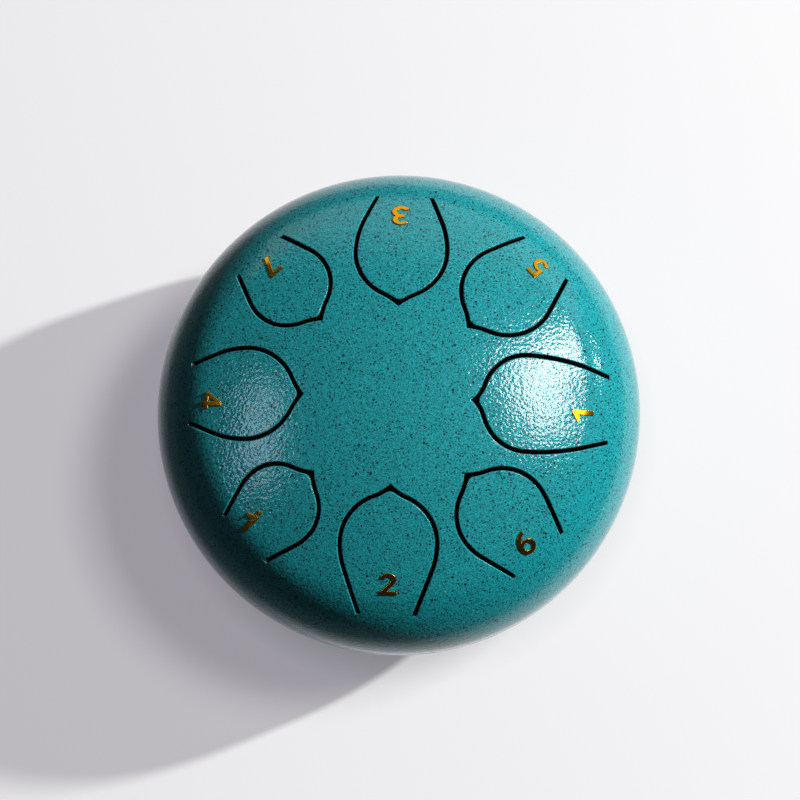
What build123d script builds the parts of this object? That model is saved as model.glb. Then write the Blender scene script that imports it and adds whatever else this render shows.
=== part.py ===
from build123d import *

import os
from dataclasses import dataclass
from math import acos, asin, atan2, copysign, cos, degrees, hypot, radians, sin, sqrt, tan

# A hand-sized steel tongue drum. Two pressed steel bowls are welded rim to rim. Eight tongues are
# cut into the upper one, each with a narrow slot round three sides, and bend about their roots.
# Sizes are in millimetres. The origin is on the floor, under the middle of the drum, and +Z is up.

# Pressed bowls
drum_radius = 77.5
sheet = 1.5
shoulder_radius = 26.0
crown_rise = 33.0
upper_skirt = 6.0
lower_skirt = 6.0
lower_shoulder_radius = 32.0

# Weld in a V groove round the seam
groove_depth = 0.8
groove_half_width = 0.9
weld_clearance = 0.1

# Slots that cut the tongues free
slot_width = 1.25
root_gap = 0.1
ogee_length = 3.5
ogee_half_width = 5.45
tongue_tip_fillet = 2.5
cut_reach = 12.0

# Sound hole in the base, with an inward-turned lip
sound_hole_radius = 22.0
lip_bend = 3.0
lip_height = 6.0

# Rubber feet, each held by a washer and a self-tapping screw
foot_names = ("foot_back", "foot_left", "foot_right")
foot_outset = 0.75
foot_height = 7.0
foot_top_radius = 9.0
foot_bottom_radius = 8.0
foot_edge_fillet = 1.0
first_foot_bearing = 90.0
washer_radius = 4.5
washer_thickness = 0.8
screw_shank_radius = 1.7
screw_head_radius = 3.5
screw_head_height = 2.2
screw_head_fillet = 0.8
screw_point_length = 3.0
screw_point_radius = 0.4
screw_reach = 4.0
screw_floor_gap = 1.0
screw_clearance = 0.1
washer_clearance = 0.3


@dataclass(frozen=True)
class Tongue:
    """One tongue, by the outline of its opening in the dome.

    bearing is about the drum's axis. tip_radius is from the axis to the cusp, and rim_margin from
    the root to the drum's outer radius. The opening is widest, belly_half to each side, at
    belly_share of its length from the cusp, and narrows to root_half at its root. It turns behind
    the belly on an arc, and back_share sets how much of the way to the root this arc takes up:
    1 is one arc right to the root, and less leaves a tighter arc with a straight arm.
    """

    name: str
    bearing: float
    tip_radius: float
    rim_margin: float
    belly_half: float
    belly_share: float
    root_half: float
    back_share: float


tongues = [
    Tongue("tongue_1_low", 0.0, 23.6, 11.3, 15.6, 0.397, 10.8, 0.933),
    Tongue("tongue_2", -90.0, 26.7, 11.4, 15.5, 0.448, 9.2, 0.582),
    Tongue("tongue_3", 90.0, 28.5, 11.9, 14.9, 0.479, 9.2, 0.769),
    Tongue("tongue_4", 180.0, 27.9, 13.2, 14.9, 0.5, 9.8, 0.788),
    Tongue("tongue_5", 46.4, 31.0, 12.0, 14.9, 0.505, 10.1, 0.49),
    Tongue("tongue_6", -45.0, 31.7, 12.5, 14.8, 0.507, 10.5, 0.506),
    Tongue("tongue_7", 135.0, 32.9, 14.1, 13.8, 0.519, 9.8, 0.526),
    Tongue("tongue_1_high", -135.0, 33.3, 14.4, 13.7, 0.515, 10.1, 0.555),
]

# Heights of the base, the seam and the two circles where the skirts meet the shoulders
base_height = foot_height
lower_shoulder_height = base_height + lower_shoulder_radius
seam_height = lower_shoulder_height + lower_skirt
upper_shoulder_height = seam_height + upper_skirt

# The crown is one large arc that meets the shoulder arc without a corner
shoulder_circle = drum_radius - shoulder_radius
crown_radius = (shoulder_circle**2 + crown_rise**2 - shoulder_radius**2) / (
    2 * (crown_rise - shoulder_radius)
)
shoulder_angle = degrees(acos(shoulder_circle / (crown_radius - shoulder_radius)))
crown_edge = crown_radius * cos(radians(shoulder_angle))

# The bowls are revolved from a section between two tongues, clear of every slot
section_plane = Plane.XZ.rotated((0, 0, 180 / len(tongues)))


def dome_height(radius):
    """Height of the dome's outer face at a radius from the drum's axis."""
    if radius < crown_edge:
        crown_centre = upper_shoulder_height + crown_rise - crown_radius
        return crown_centre + sqrt(crown_radius**2 - radius**2)
    return upper_shoulder_height + sqrt(shoulder_radius**2 - (radius - shoulder_circle) ** 2)


def tongue_plane(tongue):
    """Plane at the cusp, parallel to the dome at mid-tongue, with X down the tongue."""
    root_radius = drum_radius - tongue.rim_margin
    tilt = asin((tongue.tip_radius + root_radius) / 2 / crown_radius)
    turn = radians(tongue.bearing)
    return Plane(
        origin=(
            tongue.tip_radius * cos(turn),
            tongue.tip_radius * sin(turn),
            dome_height(tongue.tip_radius),
        ),
        x_dir=(cos(tilt) * cos(turn), cos(tilt) * sin(turn), -sin(tilt)),
        z_dir=(sin(tilt) * cos(turn), sin(tilt) * sin(turn), cos(tilt)),
    )


def tongue_length(tongue):
    """Distance from the cusp to the root line, along the tongue's plane."""
    root_radius = drum_radius - tongue.rim_margin
    turn = radians(tongue.bearing)
    root_point = (root_radius * cos(turn), root_radius * sin(turn), dome_height(root_radius))
    return tongue_plane(tongue).to_local_coords(Vector(root_point)).X


def opening_edge(tongue, inset, root_at):
    """Closed outline of the opening: arm, belly, ogee to the cusp, their mirror and the root line.

    inset moves the outline in from the opening's edge, each arc about its own centre, and root_at
    is where the root line crosses the tongue's axis.
    """
    length = tongue_length(tongue)
    belly_at = tongue.belly_share * length
    arm_run = length - belly_at
    arm_drop = tongue.belly_half - tongue.root_half
    back_radius = tongue.back_share * (arm_run**2 + arm_drop**2) / (2 * arm_drop)
    belly_centre = tongue.belly_half - back_radius
    to_root = hypot(arm_run, tongue.root_half - belly_centre)
    arm_turn = atan2(tongue.root_half - belly_centre, arm_run) + acos(back_radius / to_root)
    arm_start = (
        belly_at + (back_radius - inset) * cos(arm_turn),
        belly_centre + (back_radius - inset) * sin(arm_turn),
    )
    arm_end = (root_at, arm_start[1] - (root_at - arm_start[0]) / tan(arm_turn))

    # The front arc leaves the belly along the tongue's axis and reaches the ogee's bend
    front_run = belly_at - ogee_length
    front_drop = tongue.belly_half - ogee_half_width
    front_radius = (front_run**2 + front_drop**2) / (2 * front_drop)
    front_centre = Vector(belly_at, tongue.belly_half - front_radius)
    bend = Vector(ogee_length, ogee_half_width)
    outward = (bend - front_centre).normalized()

    # The ogee arc bends the other way, from there to the cusp. Its radius is below zero on a tongue
    # so long that the front arc meets the cusp's line too flat for an ogee.
    ogee_radius = bend.dot(bend) / (-2 * bend.dot(outward))
    ogee_centre = bend + outward * ogee_radius
    cusp_reach = sqrt((ogee_radius + inset) ** 2 - ogee_centre.Y**2)
    cusp = ogee_centre.X + copysign(cusp_reach, ogee_radius)

    with BuildLine() as edge:
        arm = Line(arm_end, arm_start)
        back = TangentArc(arm @ 1, (belly_at, tongue.belly_half - inset), tangent=arm % 1)
        front = TangentArc(back @ 1, bend - outward * inset, tangent=back % 1)
        TangentArc(front @ 1, (cusp, 0), tangent=front % 1)
        mirror(about=Plane.XZ)
        Line(arm_end, (arm_end[0], -arm_end[1]))
    return edge.line


# Upper bowl before the tongues are cut
def upper_bowl_face(inset):
    """The inside or outside line of the upper bowl, from the seam up to the top of the crown."""
    with BuildLine() as line:
        skirt = Line((drum_radius - inset, seam_height), (drum_radius - inset, upper_shoulder_height))
        shoulder = JernArc(skirt @ 1, (0, 1), shoulder_radius - inset, shoulder_angle)
        JernArc(shoulder @ 1, shoulder % 1, crown_radius - inset, 90 - shoulder_angle)
    return line.line


outer_crown_top = (0, upper_shoulder_height + crown_rise)
inner_crown_top = (0, upper_shoulder_height + crown_rise - sheet)

with BuildPart() as upper_bowl:
    with BuildSketch(section_plane):
        with BuildLine():
            add(upper_bowl_face(0))
            add(upper_bowl_face(sheet))
            Line(outer_crown_top, inner_crown_top)
            Line((drum_radius, seam_height), (drum_radius - sheet, seam_height))
        make_face()
        with BuildLine():
            Polyline(
                (drum_radius - groove_depth, seam_height),
                (drum_radius, seam_height + groove_half_width),
                (drum_radius, seam_height),
                close=True,
            )
        make_face(mode=Mode.SUBTRACT)
    revolve(axis=Axis.Z)

# Upper shell: the bowl with eight openings
with BuildPart() as upper_shell:
    add(upper_bowl.part)
    for tongue in tongues:
        with BuildSketch(tongue_plane(tongue)):
            add(opening_edge(tongue, 0, tongue_length(tongue)))
            make_face()
        extrude(amount=cut_reach, both=True, mode=Mode.SUBTRACT)

# Tongues: the steel inside each opening, a slot's width in from its edge and free at the root
tongue_parts = []
for tongue in tongues:
    with BuildPart() as tongue_part:
        add(upper_bowl.part)
        with BuildSketch(tongue_plane(tongue)):
            add(opening_edge(tongue, slot_width, tongue_length(tongue) - root_gap))
            make_face()
            tip = vertices().sort_by(Axis.X)[0]
            fillet(tip, radius=tongue_tip_fillet)
        extrude(amount=cut_reach, both=True, mode=Mode.INTERSECT)
    tongue_part.part.label = tongue.name
    tongue_parts.append(tongue_part.part)

# Lower shell: a flat-based bowl with a sound hole and a hole for each foot's screw. The feet stand
# a little outside the middle of the base's flat ring.
base_edge = drum_radius - lower_shoulder_radius
lip_edge = sound_hole_radius + lip_bend
foot_circle = (base_edge + lip_edge) / 2 + foot_outset
foot_axes = PolarLocations(foot_circle, len(foot_names), first_foot_bearing)

with BuildPart() as lower_shell:
    with BuildSketch(section_plane):
        with BuildLine():
            outer_skirt = Line((drum_radius, seam_height), (drum_radius, lower_shoulder_height))
            outer_shoulder = JernArc(outer_skirt @ 1, (0, -1), lower_shoulder_radius, -90)
            underside = Line(outer_shoulder @ 1, (lip_edge, base_height))
            outer_bend = JernArc(underside @ 1, (-1, 0), lip_bend, -90)
            collar_bore = Line(outer_bend @ 1, (sound_hole_radius, base_height + lip_height))
            collar_top = Line(collar_bore @ 1, collar_bore @ 1 + Vector(sheet, 0))
            collar = Line(collar_top @ 1, (sound_hole_radius + sheet, base_height + lip_bend))
            inner_bend = JernArc(collar @ 1, (0, -1), lip_bend - sheet, 90)
            floor = Line(inner_bend @ 1, (base_edge, base_height + sheet))
            inner_shoulder = JernArc(floor @ 1, (1, 0), lower_shoulder_radius - sheet, 90)
            inner_skirt = Line(inner_shoulder @ 1, (drum_radius - sheet, seam_height))
            Line(inner_skirt @ 1, outer_skirt @ 0)
        make_face()
        with BuildLine():
            Polyline(
                (drum_radius - groove_depth, seam_height),
                (drum_radius, seam_height - groove_half_width),
                (drum_radius, seam_height),
                close=True,
            )
        make_face(mode=Mode.SUBTRACT)
    revolve(axis=Axis.Z)
    with BuildSketch(Plane.XY.offset(base_height)):
        with foot_axes:
            Circle(screw_shank_radius + screw_clearance)
    extrude(amount=sheet, mode=Mode.SUBTRACT)

# Seam weld: a bead in the groove, ground flush with the skirts
with BuildPart() as seam_weld:
    with BuildSketch(section_plane):
        with BuildLine():
            root_of_bead = drum_radius - groove_depth + weld_clearance
            bead_half_width = groove_half_width - weld_clearance
            Polyline(
                (root_of_bead, seam_height),
                (drum_radius, seam_height + bead_half_width),
                (drum_radius, seam_height - bead_half_width),
                close=True,
            )
        make_face()
    revolve(axis=Axis.Z)

# Feet: tapered rubber bumpers with a pocket from below for the washer and the screw's head
head_top = screw_floor_gap + screw_head_height
pocket_depth = head_top + washer_thickness
foot_taper = degrees(atan2(foot_top_radius - foot_bottom_radius, foot_height))

foot_parts = []
for name, location in zip(foot_names, foot_axes):
    with BuildPart() as foot:
        with BuildSketch(Plane(location.position)):
            Circle(foot_bottom_radius)
        extrude(amount=foot_height, taper=-foot_taper)
        fillet(foot.edges().group_by(Axis.Z)[0], radius=foot_edge_fillet)
        with Locations(Plane(location.position, z_dir=(0, 0, -1))):
            CounterBoreHole(
                radius=screw_shank_radius + screw_clearance,
                counter_bore_radius=washer_radius + washer_clearance,
                counter_bore_depth=pocket_depth,
            )
    foot.part.label = name
    foot_parts.append(foot.part)

# Washers, each against the roof of its foot's pocket
with BuildPart() as foot_washers:
    with BuildSketch(Plane.XY.offset(head_top)):
        with foot_axes:
            Circle(washer_radius)
            Circle(screw_shank_radius + screw_clearance, mode=Mode.SUBTRACT)
    extrude(amount=washer_thickness)

# Screws: pan heads under the washers, shanks through foot and base, points inside the drum
shank_top = base_height + sheet + screw_reach - screw_point_length
point_taper = degrees(atan2(screw_shank_radius - screw_point_radius, screw_point_length))

with BuildPart() as foot_screws:
    with BuildSketch(Plane.XY.offset(screw_floor_gap)):
        with foot_axes:
            Circle(screw_head_radius)
    extrude(amount=screw_head_height)
    fillet(foot_screws.edges().group_by(Axis.Z)[0], radius=screw_head_fillet)
    with BuildSketch(Plane.XY.offset(head_top)) as shanks:
        with foot_axes:
            Circle(screw_shank_radius)
    extrude(amount=shank_top - head_top)
    with BuildSketch(Plane.XY.offset(shank_top)):
        add(shanks.sketch_local)
    extrude(amount=screw_point_length, taper=point_taper)

upper_shell.part.label = "upper_shell"
lower_shell.part.label = "lower_shell"
seam_weld.part.label = "seam_weld"
foot_washers.part.label = "foot_washers"
foot_screws.part.label = "foot_screws"

os.makedirs("parts", exist_ok=True)
pieces = [upper_shell.part, lower_shell.part, seam_weld.part, foot_washers.part, foot_screws.part]
for piece in pieces + tongue_parts + foot_parts:
    export_step(piece, f"parts/{piece.label}.step")
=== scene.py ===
"""A steel tongue drum: smooth pressed shells, eight tongues, gold numerals, feet and fasteners.

Every size is in millimetres until a mesh is made. A mesh is in metres, in the frame of the solids.
"""

import logging
import math
from dataclasses import dataclass
from enum import Enum, IntEnum

import bpy
import numpy as np
import numpy.typing as npt
from mathutils import Matrix, Vector


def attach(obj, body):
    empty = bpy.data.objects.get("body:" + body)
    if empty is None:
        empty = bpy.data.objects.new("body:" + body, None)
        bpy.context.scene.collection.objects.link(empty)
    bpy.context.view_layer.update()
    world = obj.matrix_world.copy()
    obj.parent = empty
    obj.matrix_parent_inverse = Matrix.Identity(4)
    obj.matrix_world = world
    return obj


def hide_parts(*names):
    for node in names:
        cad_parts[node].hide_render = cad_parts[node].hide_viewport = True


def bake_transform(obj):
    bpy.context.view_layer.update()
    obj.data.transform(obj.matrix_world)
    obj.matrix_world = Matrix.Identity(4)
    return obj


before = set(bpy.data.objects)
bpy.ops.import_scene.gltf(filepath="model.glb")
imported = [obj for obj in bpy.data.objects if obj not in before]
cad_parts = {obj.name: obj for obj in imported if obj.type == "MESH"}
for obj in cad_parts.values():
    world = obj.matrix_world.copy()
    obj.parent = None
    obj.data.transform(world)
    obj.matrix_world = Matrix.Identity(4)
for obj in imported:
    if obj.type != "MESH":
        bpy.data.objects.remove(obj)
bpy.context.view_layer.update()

Array = npt.NDArray[np.float64]
Material = bpy.types.Material
Piece = bpy.types.Object
Socket = bpy.types.NodeSocket
Tree = bpy.types.NodeTree
Pair = tuple[float, float]
METRES = 0.001
# Points that agree to this, in millimetres, become one vertex
WELD = 1e-4
# Height of the figures as they are drawn here, in millimetres
FIGURE_HEIGHT = 6.9

log = logging.getLogger("tongue_drum")


# Small helpers
def linear(hex_colour: str) -> tuple[float, float, float, float]:
    """Turn an sRGB hex colour into a linear one.

    Args:
        hex_colour: Six hex digits after a hash sign.

    Returns:
        Linear red, green and blue, and an alpha of 1.
    """
    parts = np.array([int(hex_colour[i : i + 2], 16) for i in (1, 3, 5)]) / 255
    light = np.where(parts <= 0.04045, parts / 12.92, ((parts + 0.055) / 1.055) ** 2.4)
    return (float(light[0]), float(light[1]), float(light[2]), 1.0)


def per_millimetre(size: float) -> float:
    """Texture scale, in features per metre, at which one feature is size millimetres wide."""
    return 1 / (size * METRES)


def smooth_step(values: Array) -> Array:
    """Ease values from 0 to 1, flat at both ends: three squares less two cubes."""
    share = np.clip(values, 0, 1)
    return share * share * (3 - 2 * share)


def unit(vectors: Array) -> Array:
    """Scale vectors along the last axis to length 1."""
    return vectors / np.maximum(np.linalg.norm(vectors, axis=-1, keepdims=True), 1e-12)


def on_circle(centre: Pair, radius: float, angles: Array) -> Array:
    """Points at angles, in radians, on a circle about centre."""
    return np.stack([centre[0] + radius * np.cos(angles), centre[1] + radius * np.sin(angles)], axis=-1)


def add_node(tree: Tree, kind: str, inputs: dict | None = None, **settings: str) -> bpy.types.Node:
    """Add one node with its settings, values and links.

    Args:
        tree: The material's or world's node tree.
        kind: The node's type name.
        inputs: Values by socket name or place. A socket as value is linked.
        settings: Attributes of the node.

    Returns:
        The new node.
    """
    node = tree.nodes.new(kind)
    for name, value in settings.items():
        setattr(node, name, value)
    for name, value in (inputs or {}).items():
        if isinstance(value, Socket):
            tree.links.new(value, node.inputs[name])
        else:
            node.inputs[name].default_value = value
    return node


# Meshes from grids
class Coat(IntEnum):
    """Which of a piece's two materials a patch takes."""

    OUTSIDE = 0
    INSIDE = 1


@dataclass
class Patch:
    """A grid of surface points with the normal at each, rows by columns.

    keep, where given, says which cells of the grid become faces.
    """

    points: Array
    normals: Array
    coat: Coat = Coat.OUTSIDE
    keep: npt.NDArray[np.bool_] | None = None

    def corners(self) -> npt.NDArray[np.int64]:
        """Number the four points of each cell, turned so that the face looks along its normals.

        Returns:
            One row of point numbers for each cell that is kept.
        """
        rows, columns = self.points.shape[:2]
        number = np.arange(rows * columns).reshape(rows, columns)
        cells = np.stack([number[:-1, :-1], number[:-1, 1:], number[1:, 1:], number[1:, :-1]], axis=-1)
        cells = cells[self.keep] if self.keep is not None else cells.reshape(-1, 4)
        at = self.points.reshape(-1, 3)[cells]
        facing = np.cross(at[:, 2] - at[:, 0], at[:, 3] - at[:, 1])
        wanted = self.normals.reshape(-1, 3)[cells].sum(axis=1)
        wrong = (facing * wanted).sum(axis=1) < 0
        cells[wrong] = cells[wrong][:, ::-1]
        return cells


def make_piece(name: str, patches: list[Patch], materials: list[Material]) -> Piece:
    """Join patches into one mesh object, with points in the same place made one vertex.

    Args:
        name: The piece's name.
        patches: Its grids, in millimetres.
        materials: One material for each coat that the patches use.

    Returns:
        The new object, at the origin.
    """
    points = np.concatenate([patch.points.reshape(-1, 3) for patch in patches])
    normals = np.concatenate([patch.normals.reshape(-1, 3) for patch in patches])
    first = np.cumsum([0] + [patch.points.shape[0] * patch.points.shape[1] for patch in patches])
    cells = [patch.corners() + start for patch, start in zip(patches, first)]
    coats = np.concatenate([np.full(len(c), int(p.coat)) for c, p in zip(cells, patches)])
    corners = np.concatenate(cells)

    places, where = np.unique(np.round(points / WELD), axis=0, return_inverse=True)
    welded = where.reshape(-1)[corners]
    kept = welded != np.roll(welded, -1, axis=1)
    whole = kept.sum(axis=1) >= 3
    corners, welded, kept, coats = corners[whole], welded[whole], kept[whole], coats[whole]
    sizes = kept.sum(axis=1)

    mesh = bpy.data.meshes.new(name)
    mesh.vertices.add(len(places))
    mesh.vertices.foreach_set("co", (places * WELD * METRES).astype(np.float32).ravel())
    mesh.loops.add(int(sizes.sum()))
    mesh.loops.foreach_set("vertex_index", welded[kept].astype(np.int32))
    mesh.polygons.add(len(sizes))
    starts = np.concatenate([[0], np.cumsum(sizes)[:-1]])
    mesh.polygons.foreach_set("loop_start", starts.astype(np.int32))
    mesh.polygons.foreach_set("material_index", coats.astype(np.int32))
    mesh.polygons.foreach_set("use_smooth", np.ones(len(sizes), dtype=bool))
    for material in materials:
        mesh.materials.append(material)
    mesh.update(calc_edges=True)
    mesh.normals_split_custom_set(normals[corners][kept])

    piece = bpy.data.objects.new(name, mesh)
    bpy.context.scene.collection.objects.link(piece)
    return piece


# Finishes
def start_material(name: str) -> tuple[Material, Tree, Socket]:
    """Make a material with no nodes but one for Object coordinates.

    Args:
        name: What the real material is.

    Returns:
        The material, its nodes, and the socket of the coordinates.
    """
    material = bpy.data.materials.new(name)
    material.use_nodes = True
    material.node_tree.nodes.clear()
    place = add_node(material.node_tree, "ShaderNodeTexCoord").outputs["Object"]
    return material, material.node_tree, place


def clouded(
    tree: Tree, place: Socket, size: float, detail: float, low: str, high: str
) -> tuple[Socket, Socket]:
    """Mix two colours by a noise.

    Args:
        tree: The material's nodes.
        place: Object coordinates.
        size: Width of the noise's features, in millimetres.
        detail: How many finer noises are added.
        low: Colour where the noise is 0.
        high: Colour where the noise is 1.

    Returns:
        The noise and the mixed colour.
    """
    noise = add_node(
        tree, "ShaderNodeTexNoise", {"Vector": place, "Scale": per_millimetre(size), "Detail": detail}
    ).outputs["Fac"]
    colour = add_node(
        tree, "ShaderNodeMix", {0: noise, 6: linear(low), 7: linear(high)}, data_type="RGBA"
    ).outputs[2]
    return noise, colour


@dataclass(frozen=True)
class Speck:
    """One kind of speck in the paint, at most one to a cell.

    cell is the width of a cell in millimetres, bare the share of the cells that have no speck, and
    size the largest speck's radius as a share of the cell. soft gives where its edge begins and ends
    to show, inwards from that radius, as shares of the cell too.
    """

    cell: float
    bare: float
    size: float
    colour: str
    soft: Pair = (-0.02, 0.06)

    def mask(self, tree: Tree, place: Socket) -> Socket:
        """Round spots: each cell's own random number sets its spot's radius.

        Args:
            tree: The material's nodes.
            place: Object coordinates.

        Returns:
            A socket that is 1 in a spot and 0 outside, with a soft edge.
        """
        cells = add_node(
            tree,
            "ShaderNodeTexVoronoi",
            {"Vector": place, "Scale": per_millimetre(self.cell)},
            feature="F1",
        )
        number = add_node(tree, "ShaderNodeSeparateColor", {"Color": cells.outputs["Color"]})
        radius = add_node(
            tree,
            "ShaderNodeMapRange",
            {"Value": number.outputs["Red"], "From Min": self.bare, "To Min": 0.0, "To Max": self.size},
        )
        inside = add_node(
            tree,
            "ShaderNodeMath",
            {0: radius.outputs["Result"], 1: cells.outputs["Distance"]},
            operation="SUBTRACT",
        )
        spot = add_node(
            tree,
            "ShaderNodeMapRange",
            {"Value": inside.outputs["Value"], "From Min": self.soft[0], "From Max": self.soft[1]},
        )
        return spot.outputs["Result"]


@dataclass(frozen=True)
class SpeckledEnamel:
    """Baked enamel with a little metal flake under a clear coat, sprayed thick enough for orange peel.

    The colour is mottled from deep to bright. The clear coat is glossy, and its peel breaks each
    reflection into small wavy pieces. Under the coat the paint has little gloss of its own. Dark
    specks lie close all over, and a few pale ones stand out.
    """

    deep: str = "#036369"
    bright: str = "#1BB0B8"
    specks: tuple[Speck, ...] = (
        Speck(0.75, 0.15, 0.44, "#03292E"),
        Speck(2.0, 0.45, 0.25, "#03292E"),
        Speck(3.0, 0.72, 0.1, "#A7BAB6"),
    )
    metallic: float = 0.2
    inner_gloss: float = 0.3
    roughness: float = 0.58
    coat_roughness: float = 0.08
    mottle_size: float = 0.42
    mottle_detail: float = 3.0
    mottle_roughness: float = 0.65
    mottle_range: Pair = (0.36, 0.64)
    peel_size: float = 1.0
    peel_detail: float = 1.5
    peel_roughness: float = 0.45
    peel_height: float = 0.095

    def build(self) -> Material:
        """Make the material.

        Returns:
            The enamel, on Object coordinates.
        """
        material, tree, place = start_material("Speckled_metallic_enamel")
        mottle = add_node(
            tree,
            "ShaderNodeTexNoise",
            {
                "Vector": place,
                "Scale": per_millimetre(self.mottle_size),
                "Detail": self.mottle_detail,
                "Roughness": self.mottle_roughness,
            },
        )
        low, high = self.mottle_range
        shade = add_node(
            tree,
            "ShaderNodeMapRange",
            {"Value": mottle.outputs["Fac"], "From Min": low, "From Max": high},
        )
        colour = add_node(
            tree,
            "ShaderNodeMix",
            {0: shade.outputs["Result"], 6: linear(self.deep), 7: linear(self.bright)},
            data_type="RGBA",
        ).outputs[2]
        for speck in self.specks:
            mask = speck.mask(tree, place)
            colour = add_node(
                tree, "ShaderNodeMix", {0: mask, 6: colour, 7: linear(speck.colour)}, data_type="RGBA"
            ).outputs[2]
        peel = add_node(
            tree,
            "ShaderNodeTexNoise",
            {
                "Vector": place,
                "Scale": per_millimetre(self.peel_size),
                "Detail": self.peel_detail,
                "Roughness": self.peel_roughness,
            },
        )
        wavy = add_node(
            tree,
            "ShaderNodeBump",
            {"Height": peel.outputs["Fac"], "Distance": self.peel_height * METRES, "Strength": 1.0},
        ).outputs["Normal"]
        shader = add_node(
            tree,
            "ShaderNodeBsdfPrincipled",
            {
                "Base Color": colour,
                "Metallic": self.metallic,
                "Roughness": self.roughness,
                "Specular IOR Level": self.inner_gloss,
                "Coat Weight": 1.0,
                "Coat Roughness": self.coat_roughness,
                "Coat Normal": wavy,
                "Normal": wavy,
            },
        )
        add_node(tree, "ShaderNodeOutputMaterial", {"Surface": shader.outputs["BSDF"]})
        return material


@dataclass(frozen=True)
class DarkPrimerAndPaintedShade:
    """Red-black iron oxide primer on the unpainted inside, matte and near black: partly its own colour,
    partly painted shade that keeps the slots black.
    """

    # Near black: the primer's own dark colour, and painted shade inside the drum and in the slots
    colour: str = "#14110F"
    worn: str = "#221C19"
    roughness: float = 0.8
    grain_size: float = 1.5
    grain_detail: float = 4.0
    grain_height: float = 0.02

    def build(self) -> Material:
        """Make the material.

        Returns:
            The primer with its painted shade, on Object coordinates.
        """
        material, tree, place = start_material("Dark_primer_and_painted_shade")
        grain, colour = clouded(tree, place, self.grain_size, self.grain_detail, self.colour, self.worn)
        dusty = add_node(
            tree, "ShaderNodeBump", {"Height": grain, "Distance": self.grain_height * METRES}
        )
        shader = add_node(
            tree,
            "ShaderNodeBsdfPrincipled",
            {"Base Color": colour, "Roughness": self.roughness, "Normal": dusty.outputs["Normal"]},
        )
        add_node(tree, "ShaderNodeOutputMaterial", {"Surface": shader.outputs["BSDF"]})
        return material


@dataclass(frozen=True)
class GoldFoil:
    """Vacuum-metallised gold foil on a raised sticker: a yellow mirror with a slight ripple."""

    colour: str = "#FBB41C"
    thin: str = "#F0A10C"
    roughness: float = 0.16
    ripple_size: float = 1.6
    ripple_detail: float = 2.0
    ripple_height: float = 0.01

    def build(self) -> Material:
        """Make the material.

        Returns:
            The foil, on Object coordinates.
        """
        material, tree, place = start_material("Gold_metallised_foil")
        ripple, colour = clouded(tree, place, self.ripple_size, self.ripple_detail, self.thin, self.colour)
        wavy = add_node(
            tree, "ShaderNodeBump", {"Height": ripple, "Distance": self.ripple_height * METRES}
        )
        shader = add_node(
            tree,
            "ShaderNodeBsdfPrincipled",
            {
                "Base Color": colour,
                "Metallic": 1.0,
                "Roughness": self.roughness,
                "Normal": wavy.outputs["Normal"],
            },
        )
        add_node(tree, "ShaderNodeOutputMaterial", {"Surface": shader.outputs["BSDF"]})
        return material


@dataclass(frozen=True)
class MouldedRubber:
    """Moulded nitrile rubber: near black, matte, with the fine grain of an etched mould."""

    colour: str = "#17181A"
    bloom: str = "#2B2C2E"
    roughness: float = 0.72
    grain_size: float = 0.25
    grain_detail: float = 2.0
    grain_height: float = 0.02
    bloom_size: float = 6.0
    bloom_detail: float = 3.0

    def build(self) -> Material:
        """Make the material.

        Returns:
            The rubber, on Object coordinates.
        """
        material, tree, place = start_material("Moulded_nitrile_rubber")
        grain = add_node(
            tree,
            "ShaderNodeTexNoise",
            {"Vector": place, "Scale": per_millimetre(self.grain_size), "Detail": self.grain_detail},
        )
        _, colour = clouded(tree, place, self.bloom_size, self.bloom_detail, self.colour, self.bloom)
        rough = add_node(
            tree,
            "ShaderNodeBump",
            {"Height": grain.outputs["Fac"], "Distance": self.grain_height * METRES},
        )
        shader = add_node(
            tree,
            "ShaderNodeBsdfPrincipled",
            {"Base Color": colour, "Roughness": self.roughness, "Normal": rough.outputs["Normal"]},
        )
        add_node(tree, "ShaderNodeOutputMaterial", {"Surface": shader.outputs["BSDF"]})
        return material


@dataclass(frozen=True)
class ZincPlate:
    """Bright zinc plate on turned steel: a cool grey metal, faintly clouded by passivation."""

    colour: str = "#B9BEC4"
    cloud: str = "#A6A58F"
    smoothest: float = 0.22
    roughest: float = 0.38
    cloud_size: float = 2.0
    cloud_detail: float = 3.0

    def build(self) -> Material:
        """Make the material.

        Returns:
            The plate, on Object coordinates.
        """
        material, tree, place = start_material("Bright_zinc_plate")
        cloud, colour = clouded(tree, place, self.cloud_size, self.cloud_detail, self.colour, self.cloud)
        rough = add_node(
            tree,
            "ShaderNodeMapRange",
            {"Value": cloud, "To Min": self.smoothest, "To Max": self.roughest},
        )
        shader = add_node(
            tree,
            "ShaderNodeBsdfPrincipled",
            {"Base Color": colour, "Metallic": 1.0, "Roughness": rough.outputs["Result"]},
        )
        add_node(tree, "ShaderNodeOutputMaterial", {"Surface": shader.outputs["BSDF"]})
        return material


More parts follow.
